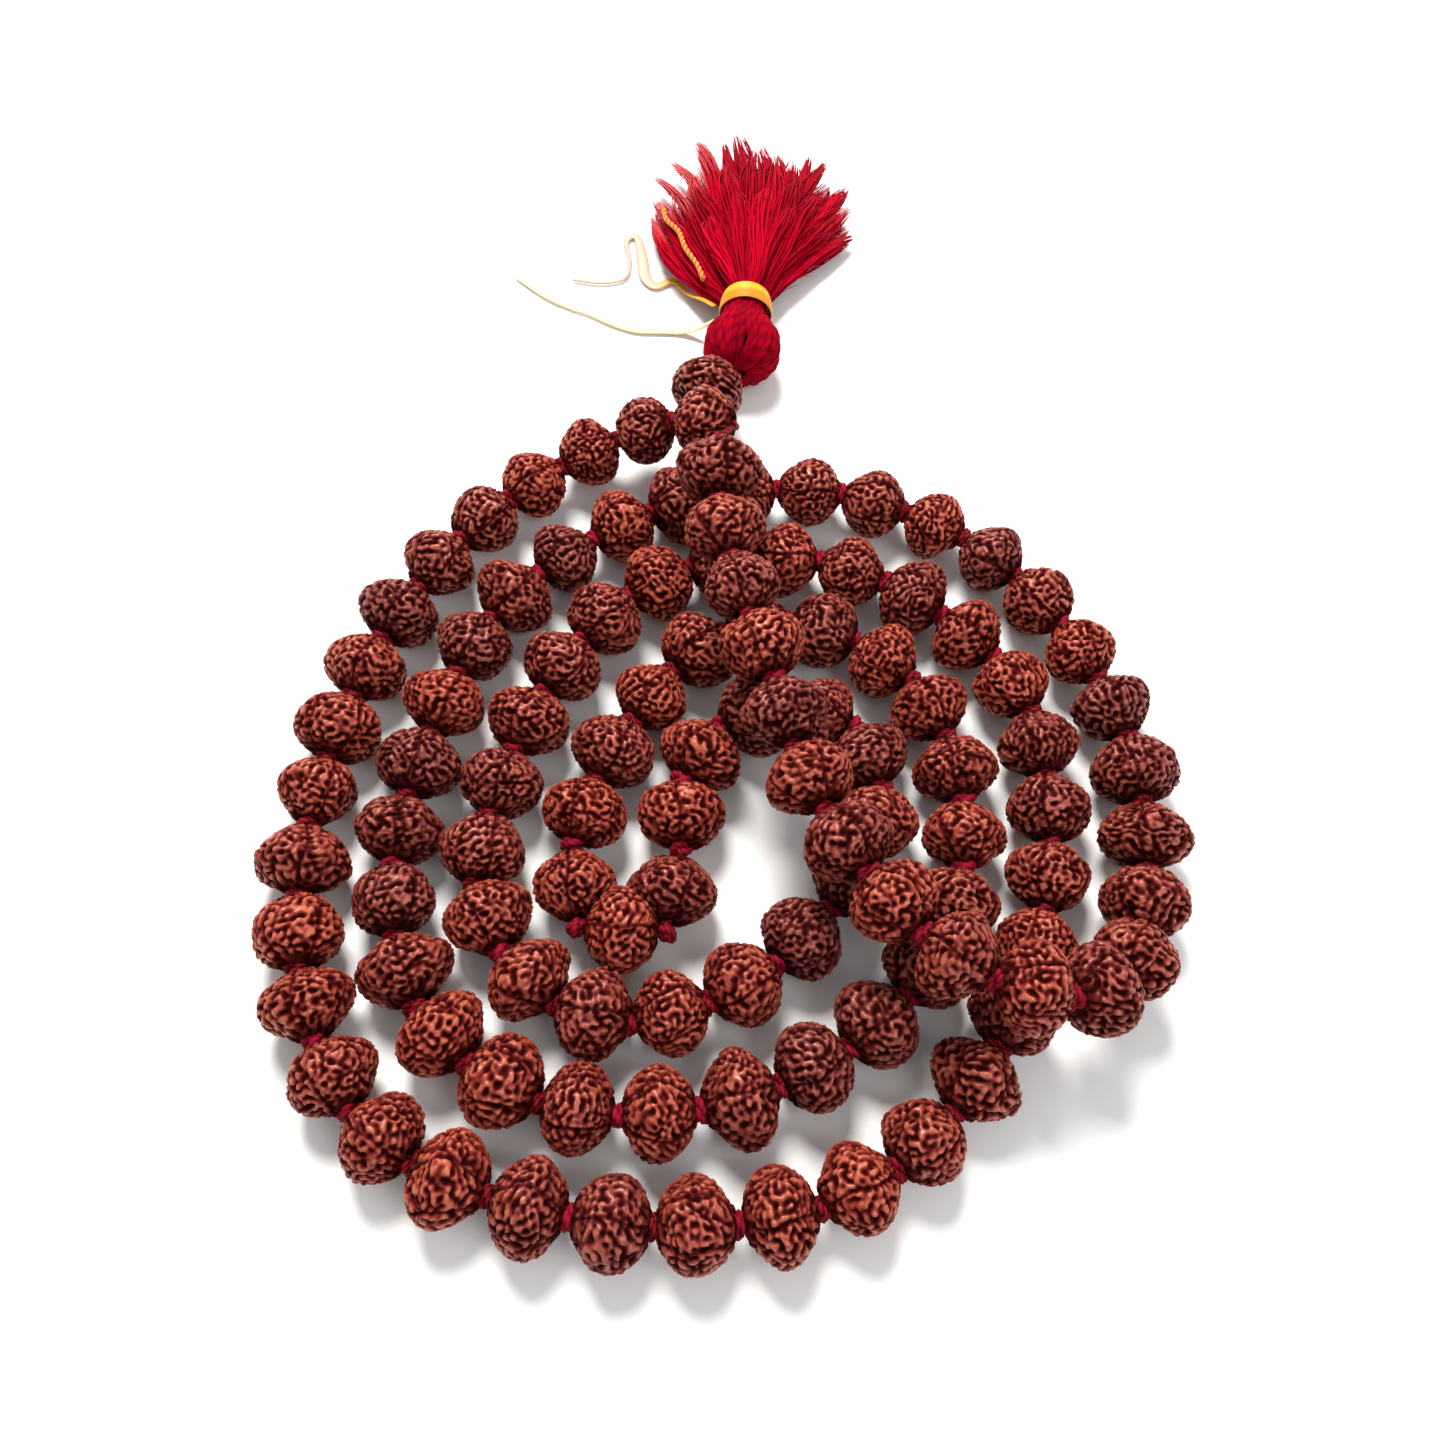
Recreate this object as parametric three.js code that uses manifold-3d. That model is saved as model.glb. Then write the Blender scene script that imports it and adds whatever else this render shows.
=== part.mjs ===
// A 108-bead rudraksha mala with a guru bead and a tassel, lying in a double spiral.
// Millimetres, +Z up, the resting surface at z = 0, the tassel towards +Y.
import * as THREE from "three";
import { mergeVertices } from "three/addons/utils/BufferGeometryUtils.js";
import Module from "manifold-3d";

// The strand
const BEAD_COUNT = 108;
const GROUP = 5; // one bead that turns by itself, then a tied run
const FIRST_TURNING = 3;
const MAIN_BEADS = 100; // past this bead the strand is cut into links that lift
const LINK_BEADS = 2;
const PITCH = 7.81; // knot to knot along the thread
const FOLD_PITCH = 9.1; // the thread is slack where the doubled loop folds
const FOLD_FIRST = 54;
const FOLD_LAST = 56;

// One bead: across its flats, and along its hole
const SIDES = 8;
const BEAD_R = 4.3;
const BEAD_HALF = 3.2;
const BAND_HALF = 1.4; // half the width of the widest band
const MOUTH_R = 1.7; // the flat ring round the hole
const BORE_R = 0.7;
const FLAT_TO_CORNER = 1 / Math.cos(Math.PI / SIDES);

// Thread and knots
const THREAD_R = 0.4;
const KNOT_R = 1.05;
const KNOT_SETBACK = 0.1; // an end knot stops this far short of the bend
const GAP = 0.3;
const THREAD_SIDES = 6;

// Tassel
const HEAD_R = 4.7;
const HEAD_HALF = 4.9;
const HEAD_CENTRE = [-1.1, 60.9, 4.75];
const NECK_R = 2.6;
const WRAP_R = 3.5;
const WRAP_HALF = 1.9;
const WRAP_Y = 68;
const SKIRT_THICK = 4.4;
const SKIRT_OUTLINE = [
  [-3, 70.4], [-8.4, 76], [-13.9, 85.5], [-12.7, 93.5], [-8.2, 98.8], [-2.2, 100.4], [8.6, 97.3],
  [12.8, 91.5], [12.8, 84], [7.2, 76], [1.2, 70.4],
];
const TAIL_R = 0.25;
const YELLOW_TAIL = [
  [-5, 68, 4.6], [-6.6, 70.4, 3.2], [-8.8, 73.2, 1.4], [-11, 76.2, 0.5], [-13.2, 75.2, 0.4], [-14.6, 76.6, 0.4],
  [-15.3, 80, 0.4], [-16.6, 84.4, 0.4], [-17.7, 83.6, 0.4], [-17, 79.4, 0.4], [-17.4, 76.4, 0.4], [-20.2, 75.3, 0.4],
  [-24.4, 75.6, 0.4],
];
const CREAM_TAIL = [
  [-5, 66.6, 3.4], [-6.9, 66.9, 1.6], [-9.2, 67.2, 0.5], [-12, 67.2, 0.4], [-15.2, 67.1, 0.4], [-18.4, 68, 0.4],
  [-21.4, 69.4, 0.4], [-24.4, 70.6, 0.4], [-27.8, 72.4, 0.4], [-32, 75.6, 0.4],
];

// Guru bead, and the thread that reaches it past the first bead
const GURU_CENTRE = [-5.1, 52.6, 6.1];
const GURU_AXIS = [0.25, 0.95, -0.15];
const GURU_THREAD = [[0, 42.4, 13.2], [0.4, 45.6, 10.2], [-2.6, 48.2, 7.6]];

// Centre of the resting piece in the coordinates used above
const CENTRE = new THREE.Vector3(0, 25, 0);

// The strand's route, about two beads to a step: x, y and, where it is lifted, z
const ROUTE = [
  [-1.4, 43, 11.2], [-9, 44.6, 9], [-16.8, 44.2, 4.9], [-29, 34.2, 4.4], [-38, 20.2], [-42.4, 5.4], [-43.8, -9.6],
  [-41, -25.9], [-32.6, -38.4], [-17.8, -44.4], [-2.5, -45.6], [13.2, -42], [25, -31], [32.3, -15.2],
  [34, -0.7], [31.4, 13.3], [21.5, 23.6], [6.6, 29.2], [-9.2, 25.4], [-19, 14], [-24, 0], [-24.9, -15.7],
  [-13.3, -26.8], [1, -23.4], [11.4, -13.2], [15.4, -6.4], [15.8, 1.4], [12, 8.3], [4.8, 9.4], [-2, 5.8],
  [-5.3, -1.2], [-4.9, -9], [-5.8, -17.4], [-14.6, -17.6], [-16.2, -9.2], [-11.7, 5.4], [-2.6, 18],
  [6, 20.6], [19.8, 13.2], [24.8, -1], [22.6, -16.4], [12.6, -28.4], [-0.9, -34.8], [-16.8, -35],
  [-29.4, -26.8], [-34.3, -12.4], [-32.7, 3.9], [-27.3, 20], [-17, 30.6], [-3.1, 37.9], [12.9, 38.5],
  [27.5, 32.2], [37.6, 20.5], [43.4, 5.9], [43.4, -10.6, 4.7], [41.4, -17.9, 6.1], [37, -23.3, 10.3],
  [29, -24.8, 14], [21.4, -22, 14.2], [15.8, -16.7, 14], [11.6, -10.4, 13.6], [7.9, -4.2, 12.8],
  [5.4, 2.4, 13.1], [3.4, 9.3, 13.8], [0.6, 16.8, 14], [-1.9, 24.5, 13.8], [-3.1, 32.3, 13.8], [-3.3, 40, 13.5],
];

const wasm = await Module();
wasm.setup();

// A closed geometry as a solid that can be joined and cut
function solid(geometry) {
  const bare = geometry.clone();
  bare.deleteAttribute("normal");
  bare.deleteAttribute("uv");
  const merged = mergeVertices(bare, 1e-4);
  return new wasm.Manifold(new wasm.Mesh({
    numProp: 3,
    vertProperties: new Float32Array(merged.attributes.position.array),
    triVerts: new Uint32Array(merged.index.array),
  }));
}

function geometryOf(made) {
  const mesh = made.getMesh();
  const geometry = new THREE.BufferGeometry();
  geometry.setAttribute("position", new THREE.BufferAttribute(mesh.vertProperties, 3));
  geometry.setIndex(new THREE.BufferAttribute(mesh.triVerts, 1));
  return geometry;
}

// The knots: points on the route a fixed distance apart, one more than there are beads
function knotPoints() {
  const points = ROUTE.map(([x, y, z = BEAD_R]) => new THREE.Vector3(x, y, z));
  const curve = new THREE.CatmullRomCurve3(points, false, "centripetal");
  const fine = ROUTE.length * 200;
  const knots = [curve.getPoint(0)];
  let before = knots[0];
  for (let i = 1; i <= fine && knots.length <= BEAD_COUNT; i++) {
    const point = curve.getPoint(i / fine);
    const slack = knots.length >= FOLD_FIRST && knots.length <= FOLD_LAST;
    const pitch = slack ? FOLD_PITCH : PITCH;
    const last = knots[knots.length - 1];
    const near = before.distanceTo(last);
    const far = point.distanceTo(last);
    if (far >= pitch) knots.push(before.clone().lerp(point, (pitch - near) / (far - near)));
    before = point;
  }
  if (knots.length <= BEAD_COUNT) throw new Error("the route is too short for its beads");
  return knots;
}

// A path of straight stretches, whose parameter counts its corners evenly
class Polyline extends THREE.Curve {
  constructor(corners) {
    super();
    this.corners = corners;
  }
  getPoint(t, target = new THREE.Vector3()) {
    const last = this.corners.length - 1;
    const at = Math.min(Math.max(t, 0), 1) * last;
    const i = Math.min(Math.floor(at), last - 1);
    return target.lerpVectors(this.corners[i], this.corners[i + 1], at - i);
  }
  getPointAt(u, target) {
    return this.getPoint(u, target);
  }
  getTangentAt(u, target) {
    return this.getTangent(u, target);
  }
}

// A closed tube along a path
function tube(path, radius, steps, sides) {
  const ring = [];
  for (let i = 0; i < sides; i++) {
    const angle = (i / sides) * 2 * Math.PI;
    ring.push(new THREE.Vector2(radius * Math.cos(angle), radius * Math.sin(angle)));
  }
  return new THREE.ExtrudeGeometry(new THREE.Shape(ring), { steps, extrudePath: path });
}

function threadTube(corners, radius) {
  return tube(new Polyline(corners), radius, corners.length - 1, THREAD_SIDES);
}

// A turned shape of SIDES flats with a flat facing down. The profile is [radius, along] pairs.
function turned(profile) {
  const points = profile.map(([radius, along]) => new THREE.Vector2(radius * FLAT_TO_CORNER, along));
  return new THREE.LatheGeometry(points, SIDES, Math.PI / SIDES);
}

// Places a turned shape with its axis along a direction and its flats level
function placement(centre, direction) {
  const along = direction.clone().normalize();
  const side = new THREE.Vector3().crossVectors(along, new THREE.Vector3(0, 0, 1)).normalize();
  const up = new THREE.Vector3().crossVectors(side, along);
  return new THREE.Matrix4().makeBasis(side, along, up).setPosition(centre);
}

const BEAD_OUTLINE = [
  [MOUTH_R, -BEAD_HALF], [BEAD_R, -BAND_HALF], [BEAD_R, BAND_HALF], [MOUTH_R, BEAD_HALF],
];

function boredBead() {
  return turned([[BORE_R, -BEAD_HALF], ...BEAD_OUTLINE, [BORE_R, BEAD_HALF], [BORE_R, -BEAD_HALF]]);
}

function solidBead() {
  return turned([[0, -BEAD_HALF], ...BEAD_OUTLINE, [0, BEAD_HALF]]);
}

function knotDisc(from, to) {
  const points = [[0, from], [KNOT_R, from], [KNOT_R, to], [0, to]];
  return new THREE.LatheGeometry(points.map(([x, y]) => new THREE.Vector2(x, y)), THREAD_SIDES);
}

const knots = knotPoints();

// The knot between bead n and the next, long enough to reach into both
function betweenKnot(n) {
  const direction = knots[n + 1].clone().sub(knots[n - 1]);
  const half = knots[n].distanceTo(knots[n - 1]) / 2 - BEAD_HALF + GAP;
  return knotDisc(-half, half).applyMatrix4(placement(knots[n], direction));
}

function beadMatrix(number) {
  const from = knots[number - 1];
  const to = knots[number];
  return placement(from.clone().lerp(to, 0.5), to.clone().sub(from));
}

// Beads first..last tied into one run by the knots between them and at its ends, bored for the thread
function tiedRun(first, last, knotAhead = true) {
  let run = null;
  const join = (geometry) => {
    run = run ? run.add(solid(geometry)) : solid(geometry);
  };
  const inner = BEAD_HALF - GAP;
  for (let n = first; n <= last; n++) {
    const place = beadMatrix(n);
    join(solidBead().applyMatrix4(place));
    const end = knots[n].distanceTo(knots[n - 1]) / 2 - KNOT_SETBACK;
    if (n === first && knotAhead) join(knotDisc(-end, -inner).applyMatrix4(place));
    if (n === last) join(knotDisc(inner, end).applyMatrix4(place));
    else join(betweenKnot(n));
  }
  const corners = knots.slice(first - 1, last + 1);
  const overrun = 1;
  const ahead = corners[0].clone().sub(corners[1]).setLength(overrun).add(corners[0]);
  const past = corners.at(-1).clone().sub(corners.at(-2)).setLength(overrun).add(corners.at(-1));
  const bore = threadTube([ahead, ...corners, past], BORE_R);
  return geometryOf(run.subtract(solid(bore)));
}

const vectors = (points) => points.map((p) => new THREE.Vector3(...p));

// Colours of the real materials
const bead = new THREE.MeshStandardMaterial({ color: 0x7d3526, roughness: 0.6 });
const thread = new THREE.MeshStandardMaterial({ color: 0x9c1230, roughness: 0.8 });
const yarn = new THREE.MeshStandardMaterial({ color: 0xa80f2a, roughness: 0.95 });
const silk = new THREE.MeshStandardMaterial({ color: 0xe0a21c, roughness: 0.5 });
const cream = new THREE.MeshStandardMaterial({ color: 0xe6dcc4, roughness: 0.7 });

const mala = new THREE.Group();
mala.name = "rudraksha_mala";

function add(name, geometry, material, matrix = null) {
  const mesh = new THREE.Mesh(geometry, material);
  mesh.name = name;
  if (matrix) matrix.decompose(mesh.position, mesh.quaternion, mesh.scale);
  mala.add(mesh);
}

const label = (n) => String(n).padStart(3, "0");

function addRun(name, first, last, knotAhead) {
  add(`${name}_${label(first)}_${label(last)}`, tiedRun(first, last, knotAhead), bead);
}

function addMainStrand() {
  add("main_thread", threadTube(knots.slice(0, MAIN_BEADS + 1), THREAD_R), thread);
  addRun("tied_beads", 1, FIRST_TURNING - 1);
  for (let n = FIRST_TURNING; n <= MAIN_BEADS; n += GROUP) {
    add(`bead_${label(n)}`, boredBead(), bead, beadMatrix(n));
    addRun("tied_beads", n + 1, Math.min(n + GROUP - 1, MAIN_BEADS));
  }
}

// The lifting links: each has its beads and its own length of thread, clear of the next at the bend
function addLinks() {
  for (let first = MAIN_BEADS + 1; first < BEAD_COUNT; first += LINK_BEADS) {
    const last = first + LINK_BEADS - 1;
    const corners = knots.slice(first - 1, last + 1).map((p) => p.clone());
    const start = corners[1].clone().sub(corners[0]).setLength(GAP);
    corners[0].add(start);
    if (last === BEAD_COUNT) {
      const mouth = guruMouth(-1, 3 * GAP);
      corners.push(...vectors(GURU_THREAD), mouth);
    } else {
      const end = corners.at(-2).clone().sub(corners.at(-1)).setLength(GAP);
      corners.at(-1).add(end);
    }
    add(`link_thread_${label(first)}_${label(last)}`, threadTube(corners, THREAD_R), thread);
    addRun("link_beads", first, last, false);
  }
}

// The point on the guru bead's axis a little way outside one of its two mouths
function guruMouth(side, outside) {
  const axis = new THREE.Vector3(...GURU_AXIS).normalize();
  return axis.multiplyScalar(side * (BEAD_HALF + outside)).add(new THREE.Vector3(...GURU_CENTRE));
}

function addGuru() {
  const place = placement(new THREE.Vector3(...GURU_CENTRE), new THREE.Vector3(...GURU_AXIS));
  add("guru_bead", boredBead(), bead, place);
  const headFoot = new THREE.Vector3(...HEAD_CENTRE).add(new THREE.Vector3(0, -HEAD_HALF - 2 * GAP, 0));
  const corners = [guruMouth(-1, -GAP), guruMouth(1, GAP), headFoot];
  add("guru_cord", threadTube(corners, THREAD_R), thread);
}

function addTassel() {
  const along = new THREE.Vector3(0, 1, 0);
  const head = turned([
    [0, -HEAD_HALF], [HEAD_R * 0.6, -HEAD_HALF * 0.85], [HEAD_R, -HEAD_HALF * 0.25], [HEAD_R, HEAD_HALF * 0.3],
    [HEAD_R * 0.75, HEAD_HALF * 0.8], [NECK_R, HEAD_HALF], [0, HEAD_HALF],
  ]);
  add("tassel_head", head, yarn, placement(new THREE.Vector3(...HEAD_CENTRE), along));
  const neckZ = HEAD_CENTRE[2];
  const wrap = turned([
    [0, -WRAP_HALF], [WRAP_R * 0.9, -WRAP_HALF], [WRAP_R, 0], [WRAP_R * 0.9, WRAP_HALF], [0, WRAP_HALF],
  ]);
  const wrapCentre = new THREE.Vector3(HEAD_CENTRE[0] + 0.2, WRAP_Y, neckZ);
  add("silk_wrap", wrap, silk, placement(wrapCentre, along));
  const outline = new THREE.Shape(SKIRT_OUTLINE.map(([x, y]) => new THREE.Vector2(x, y)));
  const skirt = new THREE.ExtrudeGeometry(outline, { depth: SKIRT_THICK, bevelEnabled: false });
  add("tassel_skirt", skirt, yarn);
}

function addTail(name, points, material) {
  const path = new THREE.CatmullRomCurve3(vectors(points), false, "centripetal");
  add(name, tube(path, TAIL_R, points.length * 2, SIDES), material);
}

addMainStrand();
addLinks();
addGuru();
addTassel();
addTail("yellow_tail", YELLOW_TAIL, silk);
addTail("cream_tail", CREAM_TAIL, cream);
mala.position.copy(CENTRE).negate();

export default mala;
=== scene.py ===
"""Looks of a rudraksha mala: ridged seeds, knotted crimson thread, and a silk-bound yarn tassel.

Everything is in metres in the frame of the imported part: +Z up, the tassel towards +Y.
"""
import math

import bpy
import numpy as np
from mathutils import Matrix, Vector


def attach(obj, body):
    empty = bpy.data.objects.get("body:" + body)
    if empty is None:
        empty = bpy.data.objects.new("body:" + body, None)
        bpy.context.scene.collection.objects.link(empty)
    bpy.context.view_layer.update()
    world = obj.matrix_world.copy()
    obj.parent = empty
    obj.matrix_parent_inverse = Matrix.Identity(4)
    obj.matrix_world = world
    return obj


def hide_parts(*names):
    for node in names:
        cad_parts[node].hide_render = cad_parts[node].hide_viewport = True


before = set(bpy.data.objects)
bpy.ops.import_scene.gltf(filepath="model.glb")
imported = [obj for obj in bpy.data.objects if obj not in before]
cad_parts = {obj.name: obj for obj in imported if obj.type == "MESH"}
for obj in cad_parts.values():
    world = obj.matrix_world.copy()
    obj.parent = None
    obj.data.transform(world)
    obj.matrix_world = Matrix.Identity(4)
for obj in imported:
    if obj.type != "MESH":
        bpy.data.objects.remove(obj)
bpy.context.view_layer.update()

MM = 0.001

# The strand, as in the part's source
BEAD_COUNT = 108
GROUP = 5
FIRST_TURNING = 3
MAIN_BEADS = 100
LINK_BEADS = 2
PITCH = 7.81
FOLD_PITCH = 9.1
FOLD_FIRST = 54
FOLD_LAST = 56
BEAD_R = 4.3
CENTRE = np.array([0.0, 25.0, 0.0])
ROUTE = [
    [-1.4, 43, 11.2], [-9, 44.6, 9], [-16.8, 44.2, 4.9], [-29, 34.2, 4.4], [-38, 20.2], [-42.4, 5.4],
    [-43.8, -9.6], [-41, -25.9], [-32.6, -38.4], [-17.8, -44.4], [-2.5, -45.6], [13.2, -42], [25, -31],
    [32.3, -15.2], [34, -0.7], [31.4, 13.3], [21.5, 23.6], [6.6, 29.2], [-9.2, 25.4], [-19, 14], [-24, 0],
    [-24.9, -15.7], [-13.3, -26.8], [1, -23.4], [11.4, -13.2], [15.4, -6.4], [15.8, 1.4], [12, 8.3],
    [4.8, 9.4], [-2, 5.8], [-5.3, -1.2], [-4.9, -9], [-5.8, -17.4], [-14.6, -17.6], [-16.2, -9.2],
    [-11.7, 5.4], [-2.6, 18], [6, 20.6], [19.8, 13.2], [24.8, -1], [22.6, -16.4], [12.6, -28.4],
    [-0.9, -34.8], [-16.8, -35], [-29.4, -26.8], [-34.3, -12.4], [-32.7, 3.9], [-27.3, 20], [-17, 30.6],
    [-3.1, 37.9], [12.9, 38.5], [27.5, 32.2], [37.6, 20.5], [43.4, 5.9], [43.4, -10.6, 4.7],
    [41.4, -17.9, 6.1], [37, -23.3, 10.3], [29, -24.8, 14], [21.4, -22, 14.2], [15.8, -16.7, 14],
    [11.6, -10.4, 13.6], [7.9, -4.2, 12.8], [5.4, 2.4, 13.1], [3.4, 9.3, 13.8], [0.6, 16.8, 14],
    [-1.9, 24.5, 13.8], [-3.1, 32.3, 13.8], [-3.3, 40, 13.5],
]


def in_frame(points):
    """From the millimetres of the part's source to the frame."""
    return (np.array(points, float) - CENTRE) * MM


# The guru bead, the thread's way to it from the last knot, and the middle of the tassel's head
GURU_CENTRE = in_frame([-5.1, 52.6, 6.1])
GURU_AXIS = np.array([0.25, 0.95, -0.15]) / np.linalg.norm([0.25, 0.95, -0.15])
GURU_THREAD = in_frame([[-2.2, 41.8, 11.6], [-1.4, 45.0, 8.4], [-3.4, 47.8, 6.8]])
HEAD_CENTRE = in_frame([-1.1, 60.9, 4.75])


# ---------------------------------------------------------------- camera, light and floor

def add_camera():
    """A camera above the near edge, looking down at the spiral."""
    elevation = math.radians(61.8)
    roll = math.radians(-2.9)
    right = Vector((1, 0, 0))
    up = Vector((0, math.sin(elevation), math.cos(elevation)))
    forward = Vector((0, math.cos(elevation), -math.sin(elevation)))
    x_axis = math.cos(roll) * right - math.sin(roll) * up
    y_axis = math.sin(roll) * right + math.cos(roll) * up
    data = bpy.data.cameras.new("camera")
    data.angle = math.radians(54.8)
    data.clip_start = 0.01
    data.clip_end = 10
    camera = bpy.data.objects.new("camera", data)
    basis = Matrix((x_axis, y_axis, -forward)).transposed().to_4x4()
    camera.matrix_world = Matrix.Translation(Vector((-1.2, -90, 138.5)) * MM) @ basis
    bpy.context.scene.collection.objects.link(camera)
    bpy.context.scene.camera = camera


def add_area_light(name, place, target, size, power, colour):
    data = bpy.data.lights.new(name, "AREA")
    data.shape = "DISK"
    data.size = size
    data.energy = power
    data.color = colour
    light = bpy.data.objects.new(name, data)
    place = Vector(place)
    aim = (Vector(target) - place).to_track_quat("-Z", "Y")
    light.matrix_world = Matrix.Translation(place) @ aim.to_matrix().to_4x4()
    bpy.context.scene.collection.objects.link(light)


def add_studio():
    target = (0, 0, 0)
    add_area_light("key", (-0.10, 0.30, 0.50), target, 0.26, 6.2, (1.0, 0.98, 0.95))
    add_area_light("fill", (0.35, -0.30, 0.45), target, 0.4, 1.4, (0.96, 0.98, 1.0))
    world = bpy.data.worlds.new("studio")
    world.use_nodes = True
    world.node_tree.nodes["Background"].inputs["Color"].default_value = (1, 1, 1, 1)
    world.node_tree.nodes["Background"].inputs["Strength"].default_value = 0.6
    bpy.context.scene.world = world
    bpy.context.scene.view_settings.view_transform = "Standard"


def add_floor():
    mesh = bpy.data.meshes.new("floor")
    side = 3.0
    corners = [(-side, -side, 0), (side, -side, 0), (side, side, 0), (-side, side, 0)]
    mesh.from_pydata(corners, [], [(0, 1, 2, 3)])
    floor = bpy.data.objects.new("floor", mesh)
    bpy.context.scene.collection.objects.link(floor)
    material = bpy.data.materials.new("pale_floor")
    material.use_nodes = True
    shader = material.node_tree.nodes["Principled BSDF"]
    shader.inputs["Base Color"].default_value = (0.86, 0.86, 0.85, 1)
    shader.inputs["Roughness"].default_value = 0.75
    mesh.materials.append(material)


# ---------------------------------------------------------------- the strand's geometry

def catmull_rom(points, per_span):
    """A centripetal Catmull-Rom curve through the points, as three.js draws it."""
    p = np.array(points, float)
    p = np.vstack([2 * p[0] - p[1], p, 2 * p[-1] - p[-2]])
    out = []
    for i in range(1, len(p) - 2):
        a, b, c, d = p[i - 1:i + 3]
        t0, t1, t2 = (np.sum((v - u) ** 2) ** 0.25 for u, v in ((a, b), (b, c), (c, d)))
        m1 = ((b - a) / t0 - (c - a) / (t0 + t1) + (c - b) / t1) * t1
        m2 = ((c - b) / t1 - (d - b) / (t1 + t2) + (d - c) / t2) * t1
        t = np.arange(per_span)[:, None] / per_span
        h = 2 * t ** 3 - 3 * t ** 2
        out.append((h + 1) * b + (t ** 3 - 2 * t ** 2 + t) * m1 - h * c + (t ** 3 - t ** 2) * m2)
    return np.vstack(out + [p[-2:-1]])


def knot_points():
    points = [list(p) + [BEAD_R] * (3 - len(p)) for p in ROUTE]
    curve = catmull_rom(points, 200)
    knots = [curve[0]]
    before = curve[0]
    for point in curve[1:]:
        if len(knots) > BEAD_COUNT:
            break
        pitch = FOLD_PITCH if FOLD_FIRST <= len(knots) <= FOLD_LAST else PITCH
        near = np.linalg.norm(before - knots[-1])
        far = np.linalg.norm(point - knots[-1])
        if far >= pitch:
            knots.append(before + (point - before) * (pitch - near) / (far - near))
        before = point
    return in_frame(knots)


def body_of_bead(number):
    if number > MAIN_BEADS:
        return "link_%d" % ((number - MAIN_BEADS + 1) // LINK_BEADS)
    if number % GROUP == FIRST_TURNING:
        return "bead_%03d" % number
    return "strand"


def body_of_knot(number):
    """Knot n lies between beads n and n + 1. Among the main beads it goes with the strand; past them, with
    bead n.
    """
    if number > MAIN_BEADS:
        return body_of_bead(number)
    return "strand"


def label(first, last):
    return "%03d_%03d" % (first, last)


def placement(centre, along, spin):
    """A piece's own Z along the thread, turned about it by spin."""
    along = Vector(along).normalized()
    side = along.cross(Vector((0, 0, 1))).normalized()
    up = side.cross(along)
    basis = Matrix((side, up, -along)).transposed().to_4x4()
    return Matrix.Translation(Vector(centre)) @ basis @ Matrix.Rotation(spin, 4, "Z")


# ---------------------------------------------------------------- mesh helpers

def new_mesh(name, verts, faces):
    mesh = bpy.data.meshes.new(name)
    faces = np.asarray(faces, np.int32)
    mesh.vertices.add(len(verts))
    mesh.vertices.foreach_set("co", np.asarray(verts, np.float32).ravel())
    sides = faces.shape[1]
    mesh.loops.add(faces.size)
    mesh.loops.foreach_set("vertex_index", faces.ravel())
    mesh.polygons.add(len(faces))
    mesh.polygons.foreach_set("loop_start", np.arange(0, faces.size, sides, dtype=np.int32))
    mesh.update(calc_edges=True)
    mesh.polygons.foreach_set("use_smooth", np.full(len(faces), True))
    mesh.validate()
    return mesh


def float_attribute(mesh, name, values):
    layer = mesh.attributes.new(name, "FLOAT", "POINT")
    layer.data.foreach_set("value", np.asarray(values, np.float32).ravel())


def grid_faces(rows, columns, wrap_rows=False):
    """Quads over a grid whose columns wrap round, and whose rows may."""
    last = rows if wrap_rows else rows - 1
    i, j = np.meshgrid(np.arange(last), np.arange(columns), indexing="ij")
    a = i * columns + j
    b = i * columns + (j + 1) % columns
    c = ((i + 1) % rows) * columns + (j + 1) % columns
    d = ((i + 1) % rows) * columns + j
    return np.stack([a, b, c, d], -1).reshape(-1, 4)


def joined(parts):
    """All the vertices, faces and values of a list of (vertices, faces, values), for one mesh."""
    verts, faces, values = zip(*parts)
    before = np.cumsum([0] + [len(v) for v in verts])
    faces = [f + count for f, count in zip(faces, before)]
    return np.vstack(verts), np.vstack(faces), np.concatenate(values)


def new_piece(name, mesh, material, body, matrix=None):
    piece = bpy.data.objects.new(name, mesh)
    bpy.context.scene.collection.objects.link(piece)
    if matrix is not None:
        piece.matrix_world = matrix
    if not mesh.materials:
        mesh.materials.append(material)
    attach(piece, body)
    return piece


def smoothstep(low, high, x):
    t = np.clip((x - low) / (high - low), 0, 1)
    return t * t * (3 - 2 * t)


def wave_field(rng, wavelength, count=70):
    """A random field whose features all have about one size. Returns a function of points."""
    direction = rng.normal(size=(count, 3))
    direction /= np.linalg.norm(direction, axis=1)[:, None]
    size = 2 * math.pi / (wavelength * (1 + 0.14 * rng.normal(size=count)))
    vector = direction * size[:, None]
    phase = rng.uniform(0, 2 * math.pi, count)
    strength = math.sqrt(2 / count)

    def field(points):
        return strength * np.cos(points @ vector.T + phase).sum(1)

    return field


# ---------------------------------------------------------------- seeds

SEED_R = 4.75 * MM
SEED_HALF = 3.62 * MM
SEED_FLAT = 0.93
SEED_BORE = 0.55 * MM
SEED_MOUTH = 1.15 * MM
SEED_ROUND = 176
SEED_ALONG = 84
SEED_KINDS = 24
FURROWS = 5
RIDGE_WAVE = 0.88 * MM
RIDGE_DEPTH = 0.44 * MM

# Seeds that lie where the strand is crowded, and how far two seeds' ridges may press together
SMALL_SEEDS = (*range(2, 7), *range(86, 93), 106)
SEED_PRESS = 0.35 * MM


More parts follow.
